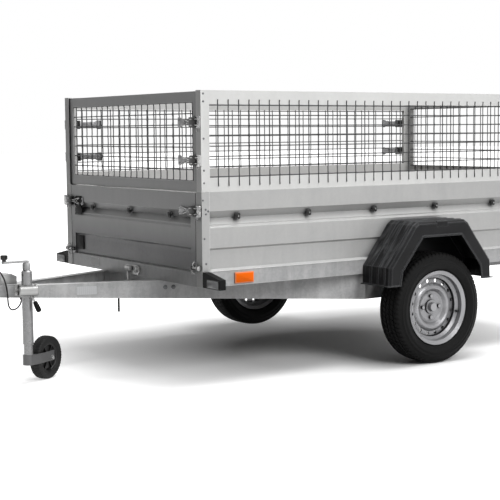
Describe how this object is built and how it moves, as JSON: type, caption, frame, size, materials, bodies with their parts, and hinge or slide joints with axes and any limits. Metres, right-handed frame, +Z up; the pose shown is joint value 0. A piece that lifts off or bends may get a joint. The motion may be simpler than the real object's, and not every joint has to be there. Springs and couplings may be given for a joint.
{
  "type": "utility trailer",
  "caption": "Single-axle utility trailer with a galvanised box, mesh side extensions, black mudguards, V drawbar, ball coupling and jockey wheel.",
  "frame": {"origin": "on the ground under the middle of the overall length, on the trailer's centre plane", "axes": "+X forward towards the coupling, +Y to the trailer's left, +Z up"},
  "size_m": [3.355, 1.75, 1.311],
  "materials": {
    "galvanised": "hot-dip galvanised, satin",
    "galvanised_dull": "hot-dip galvanised, dull",
    "zinc_bright": "bright zinc plated",
    "mesh_grey": "dark grey satin",
    "rim_silver": "silver satin",
    "board": "coated plywood, matt",
    "fender_black": "matt black moulded",
    "black_plastic": "satin black",
    "black_rubber": "matt black",
    "tyre_black": "matt black",
    "lens_white": "clear over white",
    "lens_orange": "orange, gloss",
    "lens_red": "red, gloss"
  },
  "bodies": {
    "chassis": {"drawbar_left": "galvanised", "drawbar_right": "galvanised", "drawbar_cross": "galvanised", "nose_plate": "galvanised", "coupling_head": "zinc_bright", "coupling_handle": "black_plastic", "axle_beam": "galvanised_dull", "swing_arms": "galvanised_dull", "jockey_clamp": "zinc_bright", "lock_rod": "zinc_bright", "cable": "black_rubber", "cable_gland": "black_rubber", "plug_holder": "zinc_bright", "cable_plug": "black_plastic", "hanging_strap": "black_rubber"},
    "box": {"side_panel_left": "galvanised", "side_panel_right": "galvanised", "corner_posts": "galvanised", "side_sills": "galvanised", "end_sills": "galvanised", "floor_bearers": "galvanised_dull", "floor_panel": "board", "tip_rails": "galvanised", "flap_hinges": "zinc_bright", "mesh_frame_left": "galvanised", "mesh_frame_right": "galvanised", "mesh_frame_front": "galvanised", "mesh_frame_rear": "galvanised", "mesh_wires_left": "mesh_grey", "mesh_wires_right": "mesh_grey", "mesh_wires_front": "mesh_grey", "mesh_wires_rear": "mesh_grey", "fender_left": "fender_black", "fender_right": "fender_black", "tip_lock": "zinc_bright", "side_hooks": "black_plastic", "mesh_latches": "zinc_bright", "front_lamps": "black_plastic", "front_lenses": "lens_white", "side_reflectors": "lens_orange", "rear_lamps": "black_plastic", "rear_lenses": "lens_red"},
    "front_flap": {"front_flap": "galvanised", "front_hooks": "black_plastic", "front_latches": "zinc_bright"},
    "tailgate": {"tailgate": "galvanised", "tailgate_hooks": "black_plastic", "tailgate_latches": "zinc_bright"},
    "wheel_left": {"tyre_left": "tyre_black", "rim_left": "rim_silver", "hub_left": "zinc_bright"},
    "wheel_right": {"tyre_right": "tyre_black", "rim_right": "rim_silver", "hub_right": "zinc_bright"},
    "jockey_stand": {"jockey_tube": "zinc_bright", "jockey_inner_tube": "zinc_bright", "jockey_crank": "zinc_bright"},
    "jockey_fork": {"jockey_fork": "zinc_bright"},
    "jockey_wheel": {"jockey_wheel": "black_rubber"}
  },
  "joints": [
    {"name": "box_tip", "type": "hinge", "parent": "chassis", "child": "box", "pos_m": [-0.5825, 0, 0.425], "axis": [0, -1, 0], "range_deg": [0, 18]},
    {"name": "front_flap_hinge", "type": "hinge", "parent": "box", "child": "front_flap", "pos_m": [0.7265, 0, 0.53], "axis": [0, 1, 0], "range_deg": [0, 90]},
    {"name": "tailgate_hinge", "type": "hinge", "parent": "box", "child": "tailgate", "pos_m": [-1.6415, 0, 0.53], "axis": [0, -1, 0], "range_deg": [0, 90]},
    {"name": "wheel_left_spin", "type": "hinge", "parent": "chassis", "child": "wheel_left", "pos_m": [-0.5155, 0.7825, 0.27], "axis": [0, 1, 0], "continuous": true},
    {"name": "wheel_right_spin", "type": "hinge", "parent": "chassis", "child": "wheel_right", "pos_m": [-0.5155, -0.7825, 0.27], "axis": [0, 1, 0], "continuous": true},
    {"name": "jockey_slide", "type": "slide", "parent": "chassis", "child": "jockey_stand", "axis": [0, 0, 1], "range_m": [0, 0.12]},
    {"name": "jockey_swivel", "type": "hinge", "parent": "jockey_stand", "child": "jockey_fork", "pos_m": [1.3055, 0.11995, 0.1], "axis": [0, 0, 1], "continuous": true},
    {"name": "jockey_wheel_spin", "type": "hinge", "parent": "jockey_fork", "child": "jockey_wheel", "pos_m": [1.18978, 0.05042, 0.1], "axis": [0.515, -0.8572, 0], "continuous": true}
  ]
}
